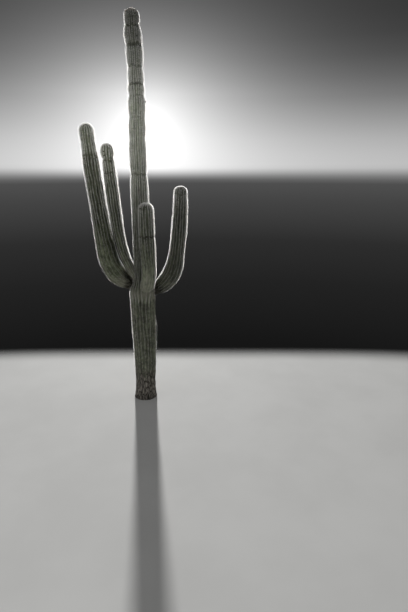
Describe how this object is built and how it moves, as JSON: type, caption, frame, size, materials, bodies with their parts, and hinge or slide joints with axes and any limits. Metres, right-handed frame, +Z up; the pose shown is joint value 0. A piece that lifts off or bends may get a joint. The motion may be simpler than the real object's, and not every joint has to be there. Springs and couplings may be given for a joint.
{
  "type": "saguaro cactus",
  "caption": "Tall columnar desert cactus, rooted in the ground: a fluted upright stem with long arms that leave it low down and turn upward, each ending in a rounded spiny tip.",
  "frame": {"origin": "middle of the flat cut under the stem, at ground level", "axes": "+Z up the stem; seen from the front, +X is to the right and +Y points away from the viewer"},
  "size_m": [1.8871, 0.7366, 6.9995],
  "materials": {
    "stem_skin": "waxy grey-green skin, matt and corky brown at the foot",
    "arm_skin": "waxy grey-green skin, satin",
    "spines": "dry straw-grey spines, matt",
    "areole_felt": "grey-brown felt pads, matt"
  },
  "bodies": {
    "root": {"trunk": "stem_skin", "arm_left_outer_elbow": "arm_skin", "arm_left_outer_upright": "arm_skin", "arm_left_inner_elbow": "arm_skin", "arm_left_inner_upright": "arm_skin", "arm_front_elbow": "arm_skin", "arm_front_upright": "arm_skin", "arm_right_elbow": "arm_skin", "arm_right_upright": "arm_skin"}
  },
  "joints": []
}
